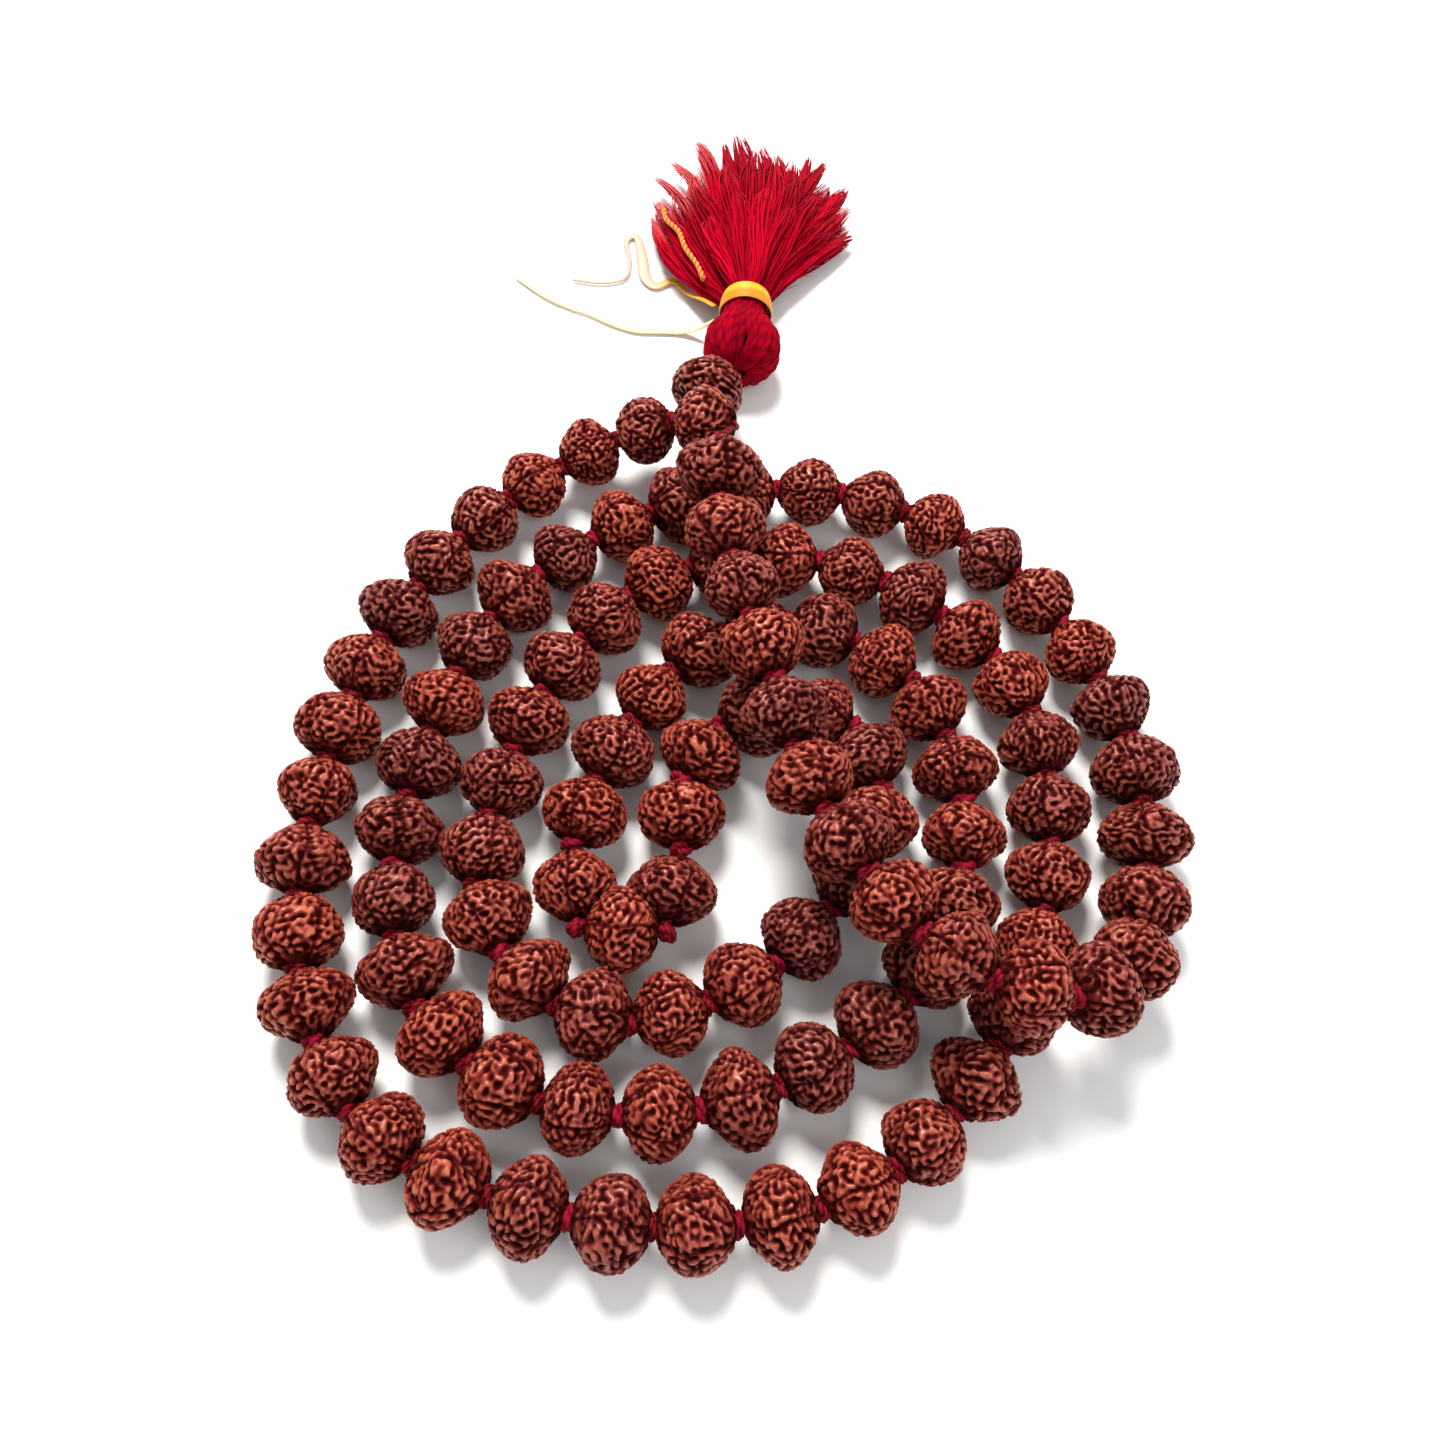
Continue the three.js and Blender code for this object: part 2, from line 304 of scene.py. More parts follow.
def seed_mesh(kind):
    """One ridged seed with its hole along Z: faint furrows, and worm-like ridges between them."""
    rng = np.random.default_rng(100 + kind)
    plump = rng.uniform(0.78, 1.22)
    lean = rng.uniform(-0.13, 0.13)
    s = np.linspace(0, math.pi, SEED_ALONG)
    mouth = math.asin(min(1.0, (SEED_MOUTH / SEED_R) ** (1 / plump)))
    s = mouth + (math.pi - 2 * mouth) * s / math.pi
    along = -np.cos(s) / math.cos(mouth) * SEED_HALF
    radius = SEED_R * np.sin(s) ** plump * (1 + lean * along / SEED_HALF * np.sin(s) ** 2)
    angle = np.arange(SEED_ROUND) * 2 * math.pi / SEED_ROUND
    slope = np.gradient(radius, along)
    normal_r = 1 / np.sqrt(1 + slope ** 2)
    normal_z = -slope * normal_r
    r, a = np.meshgrid(radius, angle, indexing="ij")
    z = np.repeat(along[:, None], SEED_ROUND, 1)
    base = np.stack([r * np.cos(a), r * np.sin(a), z], -1).reshape(-1, 3)
    normal = np.stack([
        normal_r[:, None] * np.cos(a), normal_r[:, None] * np.sin(a), normal_z[:, None] + 0 * a,
    ], -1).reshape(-1, 3)

    ridges = wave_field(rng, RIDGE_WAVE)
    warp = wave_field(rng, 3.1 * MM)
    lumps = wave_field(rng, 5.0 * MM, 20)
    knobs = wave_field(rng, 0.62 * MM)
    grain = wave_field(rng, 0.42 * MM)
    bent = base + 0.10 * MM * np.stack([warp(base), warp(base[:, [1, 2, 0]]), warp(base[:, [2, 0, 1]])], -1)
    relief = 0.5 + 0.5 * np.tanh(1.05 * ridges(bent) + 0.38)
    relief += 0.055 * knobs(base) * relief
    offset = rng.uniform(0, 2 * math.pi)
    furrow = np.zeros(len(base))
    for k in range(FURROWS):
        wander = 0.07 * np.sin(3 * z.ravel() / SEED_HALF + k)
        gap = np.angle(np.exp(1j * (a.ravel() - offset - 2 * math.pi * k / FURROWS - wander)))
        furrow = np.maximum(furrow, np.exp(-(gap * r.ravel() / (0.17 * MM)) ** 2))
    relief *= 1 - 0.45 * furrow
    ends = smoothstep(0, 0.75 * MM, SEED_HALF - np.abs(base[:, 2]))
    depth = RIDGE_DEPTH * (0.35 + 0.65 * ends)
    push = depth * (relief - 1) - 0.08 * MM * furrow * ends
    push += 0.11 * MM * ends * (lumps(base) - 1) + 0.022 * MM * grain(base)
    verts = base + normal * push[:, None]

    ring = np.stack([SEED_BORE * np.cos(angle), SEED_BORE * np.sin(angle), 0 * angle], -1)
    inset = 0.25 * MM
    low = ring + [0, 0, along[0] + inset]
    high = ring + [0, 0, along[-1] - inset]
    verts = np.vstack([verts, high, low])
    # Painted shade: the colour attribute follows the ridges, darker down in the grooves and furrows and
    # towards the bore ends, and darkest on the bore rings.
    shade = relief * (1 - 0.3 * furrow) * (0.4 + 0.6 * ends)
    shade = np.concatenate([shade, np.zeros(2 * SEED_ROUND)])
    mesh = new_mesh("seed_%d" % kind, verts, grid_faces(SEED_ALONG + 2, SEED_ROUND, wrap_rows=True))
    float_attribute(mesh, "relief", shade)
    return mesh


def nodes_of(name):
    material = bpy.data.materials.new(name)
    material.use_nodes = True
    tree = material.node_tree
    return material, tree, tree.nodes["Principled BSDF"]


def colour_ramp(tree, stops):
    ramp = tree.nodes.new("ShaderNodeValToRGB")
    ramp.color_ramp.elements.remove(ramp.color_ramp.elements[1])
    ramp.color_ramp.elements[0].position = stops[0][0]
    ramp.color_ramp.elements[0].color = (*stops[0][1], 1)
    for place, colour in stops[1:]:
        ramp.color_ramp.elements.new(place).color = (*colour, 1)
    return ramp


def attribute(tree, name, kind="GEOMETRY"):
    node = tree.nodes.new("ShaderNodeAttribute")
    node.attribute_type = kind
    node.attribute_name = name
    return node


def noise(tree, scale, detail=3.0, rough=0.55):
    coords = tree.nodes.new("ShaderNodeTexCoord")
    node = tree.nodes.new("ShaderNodeTexNoise")
    node.inputs["Scale"].default_value = scale
    node.inputs["Detail"].default_value = detail
    node.inputs["Roughness"].default_value = rough
    tree.links.new(coords.outputs["Object"], node.inputs["Vector"])
    return node


def math_node(tree, operation, a, b=None):
    node = tree.nodes.new("ShaderNodeMath")
    node.operation = operation
    for socket, value in zip(node.inputs, (a, b)):
        if value is None:
            continue
        if isinstance(value, (int, float)):
            socket.default_value = value
        else:
            tree.links.new(value, socket)
    return node.outputs[0]


def mix_colour(tree, factor, a, b):
    node = tree.nodes.new("ShaderNodeMix")
    node.data_type = "RGBA"
    for socket, value in ((node.inputs["Factor"], factor), (node.inputs["A"], a), (node.inputs["B"], b)):
        if isinstance(value, (int, float)):
            socket.default_value = value
        elif isinstance(value, tuple):
            socket.default_value = (*value, 1)
        else:
            tree.links.new(value, socket)
    return node.outputs["Result"]


def add_bump(tree, shader, height, distance, strength=1.0):
    bump = tree.nodes.new("ShaderNodeBump")
    bump.inputs["Distance"].default_value = distance
    bump.inputs["Strength"].default_value = strength
    tree.links.new(height, bump.inputs["Height"])
    tree.links.new(bump.outputs["Normal"], shader.inputs["Normal"])


def seed_material():
    """Reddish brown on the ridges, nearly black in the grooves as painted shade. Each seed has its own
    warmth.
    """
    material, tree, shader = nodes_of("rudraksha")
    relief = attribute(tree, "relief")
    warmth = attribute(tree, "warmth", "OBJECT")
    mottle = noise(tree, 420, 4)
    height = math_node(tree, "ADD", relief.outputs["Fac"], math_node(
        tree, "MULTIPLY", math_node(tree, "SUBTRACT", mottle.outputs["Fac"], 0.5), 0.30))
    # Both ramps paint shade: nearly black where the relief attribute is low, in the grooves, furrows and
    # bore, and the seed's reddish brown on the ridges.
    red = colour_ramp(tree, [
        (0.10, (0.018, 0.002, 0.002)), (0.40, (0.060, 0.005, 0.004)), (0.66, (0.140, 0.014, 0.009)),
        (0.88, (0.260, 0.038, 0.020)), (1.0, (0.400, 0.085, 0.046)),
    ])
    plum = colour_ramp(tree, [
        (0.10, (0.014, 0.002, 0.002)), (0.40, (0.038, 0.004, 0.004)), (0.66, (0.082, 0.010, 0.009)),
        (0.88, (0.150, 0.026, 0.019)), (1.0, (0.250, 0.060, 0.040)),
    ])
    tree.links.new(height, red.inputs["Fac"])
    tree.links.new(height, plum.inputs["Fac"])
    colour = mix_colour(tree, warmth.outputs["Fac"], plum.outputs["Color"], red.outputs["Color"])
    tree.links.new(colour, shader.inputs["Base Color"])
    rough = colour_ramp(tree, [(0.3, (0.85,) * 3), (0.95, (0.33,) * 3)])
    tree.links.new(height, rough.inputs["Fac"])
    tree.links.new(rough.outputs["Color"], shader.inputs["Roughness"])
    shine = math_node(tree, "MULTIPLY", math_node(tree, "POWER", relief.outputs["Fac"], 3.0), 0.55)
    tree.links.new(shine, shader.inputs["Specular IOR Level"])
    shader.inputs["Specular Tint"].default_value = (1.0, 0.72, 0.62, 1)
    fine = noise(tree, 2600, 3)
    add_bump(tree, shader, fine.outputs["Fac"], 0.00005, 0.7)
    return material


# ---------------------------------------------------------------- thread and knots

THREAD_R = 0.42 * MM
THREAD_STEP = 0.35 * MM
GURU_THREAD_R = 0.5 * MM
KNOT_KINDS = 5


def normals_along(path):
    """A pair of normals carried along a path without twist."""
    tangent = np.gradient(path, axis=0)
    tangent /= np.linalg.norm(tangent, axis=1)[:, None]
    start = np.cross(tangent[0], [0.3, 0.2, 1.0])
    normals = [start / np.linalg.norm(start)]
    for t in tangent[1:]:
        n = normals[-1] - t * (normals[-1] @ t)
        normals.append(n / np.linalg.norm(n))
    normals = np.array(normals)
    return normals, np.cross(tangent, normals)


def rope(path, radius, sides, plies=2, lay=2.2 * MM, groove=0.32, phase=0.0):
    """Vertices, quads and ply depth of a closed twisted cord along a path of closely spaced points."""
    u, v = normals_along(path)
    step = np.concatenate([[0], np.linalg.norm(np.diff(path, axis=0), axis=1)]).cumsum()
    angle = np.arange(sides) * 2 * math.pi / sides
    turn = step / lay * 2 * math.pi + phase
    hollow = np.abs(np.sin(plies * (angle[None] - turn[:, None]) / 2)) ** 0.8
    r = np.asarray(radius) * np.ones(len(path))
    r = r[:, None] * (1 - groove * (1 - hollow))
    verts = path[:, None] + r[..., None] * (
        np.cos(angle)[None, :, None] * u[:, None] + np.sin(angle)[None, :, None] * v[:, None])
    verts, faces = capped(verts.reshape(-1, 3), sides)
    return verts, faces, np.pad(hollow, ((1, 1), (0, 0)), mode="edge").ravel()


def capped(verts, columns):
    """Closes a tube's two ends by drawing each end ring to a point with quads."""
    rows = len(verts) // columns
    first = verts[:columns].mean(0)
    last = verts[-columns:].mean(0)
    tip = 1e-6
    verts = np.vstack([
        first + (verts[:columns] - first) * tip, verts, last + (verts[-columns:] - last) * tip,
    ])
    return verts, grid_faces(rows + 2, columns)


def rope_mesh(name, paths, radius, sides, **kinds):
    verts, faces, depth = joined([rope(path, radius, sides, **kinds) for path in paths])
    mesh = new_mesh(name, verts, faces)
    # The ply depth becomes the colour attribute: painted shade down between the plies.
    float_attribute(mesh, "relief", depth)
    return mesh


def knot_mesh(kind):
    """An overhand knot pulled tight: a twisted cord wound twice round three lobes, about Z."""
    rng = np.random.default_rng(300 + kind)
    t = np.linspace(0, 2 * math.pi, 150)
    squeeze = rng.uniform(0.9, 1.1)
    ring = 0.72 * MM * (1 + 0.08 * np.sin(t + rng.uniform(0, 6)))
    radial = ring + 0.24 * MM * np.cos(3 * t)
    x = radial * np.cos(2 * t)
    y = radial * np.sin(2 * t)
    z = 0.44 * MM * squeeze * np.sin(3 * t + 0.3) + 0.12 * MM * np.sin(t)
    path = np.stack([x, y, z], -1)
    straight = np.array([[0, 0, h * MM] for h in np.linspace(-0.95, 0.95, 30)])
    return rope_mesh("knot_%d" % kind, [path, straight], 0.50 * MM, sides=10, plies=3, lay=1.5 * MM,
                     groove=0.34)


def fibre_material(name, dark, mid, bright, roughness, sheen, scale=1500, streak=0.35, shine=0.1):
    """Twisted or combed fibre: darker between the plies as painted shade, with fine streaks."""
    material, tree, shader = nodes_of(name)
    relief = attribute(tree, "relief")
    mottle = noise(tree, scale, 4, 0.65)
    height = math_node(tree, "ADD", relief.outputs["Fac"], math_node(
        tree, "MULTIPLY", math_node(tree, "SUBTRACT", mottle.outputs["Fac"], 0.5), streak))
    ramp = colour_ramp(tree, [(0.0, dark), (0.55, mid), (1.0, bright)])
    tree.links.new(height, ramp.inputs["Fac"])
    tree.links.new(ramp.outputs["Color"], shader.inputs["Base Color"])
    shader.inputs["Roughness"].default_value = roughness
    shader.inputs["Sheen Weight"].default_value = sheen
    shader.inputs["Sheen Roughness"].default_value = 0.45
    shader.inputs["Sheen Tint"].default_value = (*[min(1, 2.2 * c) for c in bright], 1)
    shader.inputs["Specular IOR Level"].default_value = shine
    add_bump(tree, shader, mottle.outputs["Fac"], 0.00006, 0.8)
    return material


def tint(material, name, kind, share, colour):
    """Mix a colour into a material's base colour, by an attribute and up to a share."""
    tree = material.node_tree
    base_color = tree.nodes["Principled BSDF"].inputs["Base Color"]
    amount = math_node(tree, "MULTIPLY", attribute(tree, name, kind).outputs["Fac"], share)
    tree.links.new(mix_colour(tree, amount, base_color.links[0].from_socket, colour), base_color)


def thread_material():
    """Dark crimson cord; by its warmth, a knot may be a brighter red."""
    material = fibre_material("crimson_thread", (0.012, 0.000, 0.001), (0.075, 0.001, 0.004),
                              (0.22, 0.002, 0.010), 0.7, 0.02)
    tint(material, "warmth", "OBJECT", 0.8, (0.27, 0.002, 0.022))
    return material


def resample(points, spacing):
    """Points a fixed small distance apart along a smooth curve through the given ones."""
    fine = catmull_rom(points, 60)
    step = np.concatenate([[0], np.linalg.norm(np.diff(fine, axis=0), axis=1)]).cumsum()
    count = max(2, int(step[-1] / spacing) + 1)
    at = np.linspace(0, step[-1], count)
    return np.stack([np.interp(at, step, fine[:, k]) for k in range(3)], -1)


def polyline(corners):
    """Points a fixed small distance apart along straight lines from corner to corner."""
    step = np.concatenate([[0], np.linalg.norm(np.diff(corners, axis=0), axis=1)]).cumsum()
    at = np.linspace(0, step[-1], int(step[-1] / THREAD_STEP) + 1)
    return np.stack([np.interp(at, step, corners[:, k]) for k in range(3)], -1)


def add_threads(knots, material):
    """The thread is straight inside each bead and bends at the knots."""
    mesh = rope_mesh("thread", [polyline(knots[:MAIN_BEADS + 1])], THREAD_R, sides=10)
    piece = new_piece("thread", mesh, material, "strand")
    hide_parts("main_thread")
    guru_mouths = [GURU_CENTRE + end * GURU_AXIS * SEED_HALF for end in (-1, 1)]
    for first in range(MAIN_BEADS + 1, BEAD_COUNT, LINK_BEADS):
        last = first + LINK_BEADS - 1
        path = polyline(knots[first - 1:last + 1])
        if last == BEAD_COUNT:
            lead = resample(np.vstack([knots[-2:], GURU_THREAD, guru_mouths[0]]), THREAD_STEP)
            away = np.linalg.norm(lead - knots[-1], axis=1).argmin()
            path = np.vstack([path, lead[away + 1:]])
        name = "thread_%s" % label(first, last)
        mesh = rope_mesh(name, [path], THREAD_R, sides=10)
        piece = new_piece(name, mesh, material, body_of_bead(first))
        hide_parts("link_thread_%s" % label(first, last))
    foot = HEAD_CENTRE + np.array([0, -4.6, 0]) * MM
    cord = resample(np.array([guru_mouths[0], GURU_CENTRE, guru_mouths[1], foot]), THREAD_STEP)
    mesh = rope_mesh("guru_thread", [cord], GURU_THREAD_R, sides=12)
    piece = new_piece("guru_thread", mesh, material, "guru")
    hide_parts("guru_cord")


def add_knots(knots, material):
    rng = np.random.default_rng(7)
    meshes = [knot_mesh(k) for k in range(KNOT_KINDS)]
    for number in range(1, BEAD_COUNT + 1):
        before = knots[number] - knots[number - 1]
        after = knots[number + 1] - knots[number] if number < BEAD_COUNT else before
        matrix = placement(knots[number], before + after, rng.uniform(0, 2 * math.pi))
        size = rng.uniform(0.88, 1.06)
        matrix = matrix @ Matrix.Diagonal((size, size, size * rng.uniform(0.9, 1.15), 1))
        mesh = meshes[int(rng.integers(KNOT_KINDS))]
        knot = new_piece("knot_%03d" % number, mesh, material, body_of_knot(number), matrix)
        knot["warmth"] = float(rng.uniform(0, 1) ** 2)


def reach(way, axis, across):
    """How far a seed's surface lies from its centre in a direction."""
    lengthwise = way @ axis
    return math.sqrt((across * SEED_R) ** 2 * (1 - lengthwise ** 2) + (SEED_HALF * lengthwise) ** 2)


def seed_sizes(centres, axes, rng):
    """Each seed's scale across its hole, no larger than its neighbours on other turns leave room for."""
    sizes = np.clip(rng.normal(0.99, 0.045, len(centres)), 0.91, 1.06)
    for number in SMALL_SEEDS:
        sizes[number - 1] = rng.uniform(0.89, 0.93)
    for i in range(len(centres)):
        for j in range(i + 2, len(centres)):
            apart = centres[j] - centres[i]
            distance = np.linalg.norm(apart)
            if distance > 2.2 * SEED_R:
                continue
            way = apart / distance
            both = reach(way, axes[i], sizes[i]) + reach(way, axes[j], sizes[j])
            shrink = min(1, (distance + SEED_PRESS) / both)
            sizes[i] *= shrink
            sizes[j] *= shrink
    return np.maximum(sizes, 0.86)


def add_seeds(knots, material):
    """Each seed is one of a few kinds, turned end for end or by quarters so that none look alike."""
    rng = np.random.default_rng(11)
    meshes = [seed_mesh(kind) for kind in range(SEED_KINDS)]
    centres = (knots[:-1] + knots[1:]) / 2
    axes = knots[1:] - knots[:-1]
    axes /= np.linalg.norm(axes, axis=1)[:, None]
    sizes = seed_sizes(centres, axes, rng)
    for number in range(1, BEAD_COUNT + 1):
        quarter = int(rng.integers(4))
        size = sizes[number - 1]
        across = (size * SEED_FLAT, size) if quarter % 2 else (size, size * SEED_FLAT)
        matrix = placement(centres[number - 1], axes[number - 1], quarter * math.pi / 2)
        matrix = matrix @ Matrix.Diagonal((*across, rng.uniform(0.95, 1.04), 1))
        if rng.random() < 0.5:
            matrix = matrix @ Matrix.Rotation(math.pi, 4, "X")
        mesh = meshes[(number * 7 + int(rng.integers(3))) % SEED_KINDS]
        seed = new_piece("seed_%03d" % number, mesh, material, body_of_bead(number), matrix)
        seed["warmth"] = float(np.clip(rng.normal(0.60, 0.36), 0, 1))
        stand_for_bead(number)
    matrix = placement(GURU_CENTRE, GURU_AXIS, 1.0) @ Matrix.Scale(0.97, 4)
    guru = new_piece("guru_seed", meshes[0], material, "guru", matrix)
    guru["warmth"] = 0.35
    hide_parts("guru_bead")


def stand_for_bead(number):
    """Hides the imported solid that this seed, or the run it begins, stands for."""
    if number > MAIN_BEADS:
        if (number - MAIN_BEADS) % LINK_BEADS == 1:
            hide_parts("link_beads_%s" % label(number, number + LINK_BEADS - 1))
    elif number % GROUP == FIRST_TURNING:
        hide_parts("bead_%03d" % number)
    elif number == 1:
        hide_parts("tied_beads_%s" % label(1, FIRST_TURNING - 1))
    elif number % GROUP == (FIRST_TURNING + 1) % GROUP:
        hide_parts("tied_beads_%s" % label(number, min(number + GROUP - 2, MAIN_BEADS)))


# ---------------------------------------------------------------- tassel

HEAD_R = 5.05 * MM
HEAD_HALF = 5.1 * MM
HEAD_YARNS = 38
HEAD_YARN_R = 0.55 * MM
SLIT_AT = 2.15
CORE_SHARE = 0.80
NECK = in_frame([-0.9, 68, 4.75])
NECK_R = 2.7 * MM
WRAP_R = 3.25 * MM
WRAP_LONG = 3.0 * MM
WRAP_TURNS = 13
SILK_R = 0.135 * MM
SILK_END_R = 0.36 * MM
SILK_STEP = 0.3 * MM
SILK_END = in_frame([
    [-6.6, 71.8, 5.4], [-7.6, 74.4, 5.4], [-9.3, 77.4, 5.3], [-10.4, 80.8, 4.9], [-12.2, 83.6, 4.3],
    [-12.8, 86.2, 3.8],
])
LOCK_FIBRES = 56
FIBRE_R = 0.125 * MM
FIBRE_SIDES = 4
FIBRE_ROWS = 22
HAIRS = 850
HAIR_R = 0.035 * MM
HAIR_SIDES = 3
HAIR_ROWS = 8

# Each lock of the skirt, in mm: its tip, its width, how far it bows to its left, and how its tip curls
LOCKS = [
    (-14.6, 87.4, 1.5, 1.0, 6.5, 0.6), (-13.8, 90.0, 2.2, 1.5, 5.0, 1.4), (-13.6, 95.4, 2.0, 0.7, 1.2, 3.6),
    (-11.4, 98.0, 2.3, 0.7, 0.2, 4.6), (-8.4, 101.8, 3.0, 1.3, 1.6, 2.8), (-6.0, 97.0, 2.0, 2.0, 0.5, 0.2),
    (-4.6, 102.6, 2.2, 1.0, 0.0, 1.6), (-2.6, 103.2, 3.0, 1.5, 0.0, 1.4), (-0.2, 101.0, 3.0, 2.1, 0.0, 0.6),
    (2.6, 99.8, 2.8, 2.2, 0.0, 0.4), (5.0, 98.4, 2.6, 2.2, 0.3, 0.4), (7.0, 96.6, 2.2, 2.0, 0.6, 0.3),
    (7.9, 100.6, 2.0, 0.7, 1.4, 1.2), (9.4, 99.2, 2.3, 1.1, 1.4, 0.3), (9.8, 94.4, 2.2, 2.0, 1.4, 0.3),
    (12.9, 94.6, 2.1, 1.2, 2.0, 0.8), (12.6, 90.4, 2.0, 2.0, 2.0, 0.2), (13.8, 84.8, 1.6, 1.2, 2.4, -0.6),
    (12.4, 87.2, 1.6, 1.9, 2.2, 0.0), (-11.4, 91.4, 2.6, 1.8, 2.6, 0.8), (-9.4, 95.0, 2.6, 1.9, 1.4, 0.5),
    (-5.4, 95.0, 1.4, 2.2, 0.0, 0.0), (1.8, 95.6, 1.4, 2.2, 0.0, 0.0), (7.4, 92.0, 1.4, 2.2, 0.8, 0.0),
    (-11.2, 86.4, 2.4, 1.8, 5.5, 0.4), (-8.0, 91.0, 4.0, 1.7, 1.8, 0.9), (-4.4, 95.6, 4.1, 1.8, 0.5, 0.8),
    (-1.0, 97.4, 4.3, 1.8, 0.0, 0.6), (2.6, 96.4, 4.3, 1.8, 0.4, 0.6), (6.0, 94.0, 4.0, 1.8, 1.0, 0.6),
    (9.0, 90.6, 3.4, 1.8, 1.6, 0.4), (10.6, 86.2, 2.8, 1.7, 2.2, 0.0), (-2.8, 89.6, 5.0, 1.5, 0.4, 0.6),
    (1.4, 90.4, 5.1, 1.5, 0.0, -0.6), (4.8, 87.4, 4.7, 1.4, 0.8, 0.6), (-6.6, 84.8, 4.6, 1.5, 2.0, 1.0),
]
LAYERS = ("skirt_lower", "skirt_middle", "skirt_upper")


def tubes(paths, radii, sides):
    """Closed round tubes along many paths at once: paths is (count, rows, 3), radii (count, rows)."""
    count, rows, _ = paths.shape
    tangent = np.gradient(paths, axis=1)
    tangent /= np.linalg.norm(tangent, axis=2)[..., None]
    u = np.cross(tangent, np.array([0.11, 0.07, 1.0]))
    u /= np.linalg.norm(u, axis=2)[..., None]
    v = np.cross(tangent, u)
    angle = np.arange(sides) * 2 * math.pi / sides
    ring = np.cos(angle)[:, None] * u[:, :, None] + np.sin(angle)[:, None] * v[:, :, None]
    radii = radii.copy()
    radii[:, [0, -1]] = 1e-6
    verts = paths[:, :, None] + radii[..., None, None] * ring
    faces = grid_faces(rows, sides)[None] + (np.arange(count) * rows * sides)[:, None, None]
    return verts.reshape(-1, 3), faces.reshape(-1, 4)


def lock_line(lock, t):
    """A lock's middle line, from inside the band to its tip, fanning out and bowing on the way."""
    x, y, z, _, bow, curl = lock
    tip = in_frame([x, y, z])
    fan = (x + 0.9) / 14.5
    root = NECK + np.array([2.0 * fan, 0.6, 0.75 * (z - 3.2)]) * MM
    across = tip - root
    leftward = np.array([-across[1], across[0], 0]) / np.linalg.norm(across)
    middle = root + across * [0.34, 0.45, 0] + [0, 0, (0.5 * (z - 3.2) + 0.2) * MM]
    middle = middle + 0.8 * bow * MM * leftward
    t = t[:, None]
    line = (1 - t) ** 2 * root + 2 * t * (1 - t) * middle + t ** 2 * tip
    wave = 0.42 * t * np.sin(2 * math.pi * (1.15 * t + 0.37 * x))
    return line + (curl * (t ** 5 - 0.6 * t ** 2) + wave) * MM * leftward


def lock_fibres(rng, lock, t):
    """The path, radius, painted light and shade, and pale tips of each fibre of a lock, which closes in
    towards its tip.
    """
    x, _, _, width, _, _ = lock
    swell = 0.5 + 0.5 * np.sin(np.minimum(1, t / 0.78) * math.pi / 2)
    swell = swell * (0.6 + 0.4 * np.minimum(1, t / 0.5)) * (1 - 0.5 * smoothstep(0.86, 1.0, t))
    tone = rng.uniform(-0.14, 0.14)
    for _ in range(LOCK_FIBRES):
        line = lock_line(lock, t * rng.uniform(0.90, 1.0))
        tangent = np.gradient(line, axis=0)
        tangent /= np.linalg.norm(tangent, axis=1)[:, None]
        side = np.cross(tangent, [0, 0, 1.0])
        up = np.cross(side, tangent)
        out = math.sqrt(rng.uniform(0, 1))
        turn = rng.uniform(0, 2 * math.pi) + rng.uniform(0.6, 2.0) * t
        away = out * width * MM * swell
        ripple = 0.14 * MM * np.sin(2 * math.pi * (rng.uniform(1, 3) * t + rng.uniform()))
        line = line + (away * np.cos(turn) + ripple)[:, None] * side
        line = line + (0.7 * away * np.sin(turn))[:, None] * up
        line[:, 2] = np.maximum(line[:, 2], 0.25 * MM)
        # Painted light and shade: outer fibres and those on a lock's upper side are lighter, inner ones and
        # those near the neck darker; the tone and the last term are random.
        lit = 0.22 + 0.40 * out * (0.5 + 0.5 * np.sin(turn)) + 0.22 * smoothstep(0.05, 0.5, t)
        lit = lit + tone + rng.uniform(-0.1, 0.1)
        # Paler and pinker towards the tips, fully on the locks at the left and faintly on the others.
        pale_tip = smoothstep(0.74, 1.0, t) * (1.0 if x < -8 else 0.1)
        yield line, FIBRE_R * (1 - 0.45 * t ** 3) * rng.uniform(0.75, 1.2), lit, pale_tip


def skirt_mesh(name, locks, seed):
    """Locks of fine yarn with loose hairs about them."""
    rng = np.random.default_rng(seed)
    t = np.linspace(0, 1, FIBRE_ROWS)
    fibres = [fibre for lock in locks for fibre in lock_fibres(rng, lock, t)]
    paths, radii, shades, pale_tip = (np.array(part) for part in zip(*fibres))
    fibre_looks = np.stack([shades.ravel(), pale_tip.ravel()], -1).repeat(FIBRE_SIDES, axis=0)
    hair_verts, hair_faces = hairs(rng, paths)
    verts, faces, looks = joined([
        (*tubes(paths, radii, FIBRE_SIDES), fibre_looks),
        (hair_verts, hair_faces, np.tile([0.8, 0.0], (len(hair_verts), 1))),
    ])
    mesh = new_mesh(name, verts, faces)
    float_attribute(mesh, "relief", looks[:, 0])
    float_attribute(mesh, "blush", looks[:, 1])
    return mesh


def hairs(rng, paths):
    """Fine hairs that lift a little off the fibres they start on."""
    t = np.linspace(0, 1, HAIR_ROWS)
    lines = []
    for _ in range(HAIRS):
        path = paths[rng.integers(len(paths))]
        start = int(rng.integers(3, len(path) - HAIR_ROWS + 1))
        along = path[start:start + HAIR_ROWS]
        lift = rng.normal(size=3) * [1, 1, 0.5]
        line = along + (t ** 1.6)[:, None] * lift * rng.uniform(0.3, 1.0) * MM
        line[:, 2] = np.maximum(line[:, 2], 0.15 * MM)
        lines.append(line)
    return tubes(np.array(lines), np.full((HAIRS, HAIR_ROWS), HAIR_R), HAIR_SIDES)


